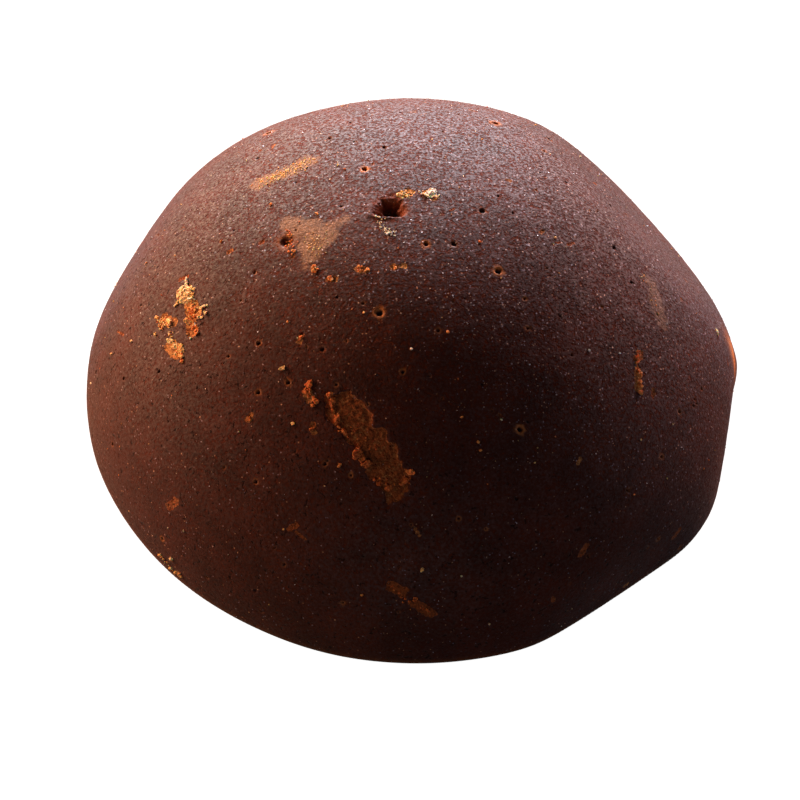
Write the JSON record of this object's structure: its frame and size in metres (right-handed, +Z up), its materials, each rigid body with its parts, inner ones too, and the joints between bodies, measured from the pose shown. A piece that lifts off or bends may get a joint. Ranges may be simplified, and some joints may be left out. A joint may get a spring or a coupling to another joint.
{
  "type": "jaggery lump",
  "caption": "Low dome of dark palm jaggery with a flat base and rounded bottom edge, scarred and pitted, to rest on a board, scale or shop counter.",
  "frame": {"origin": "centre of the flat base, on the surface the lump rests on", "axes": "+Z up through the dome, which is the lump's shortest side; +X and +Y lie in the base, and the front with the large scar faces -Y"},
  "size_m": [0.0862, 0.086, 0.0334],
  "materials": {
    "jaggery": "dark brown unrefined palm sugar, fine-grained, with a dull sheen and small glints, and paler golden brown where it is chipped"
  },
  "bodies": {
    "root": {"jaggery_lump": "jaggery"}
  },
  "joints": []
}
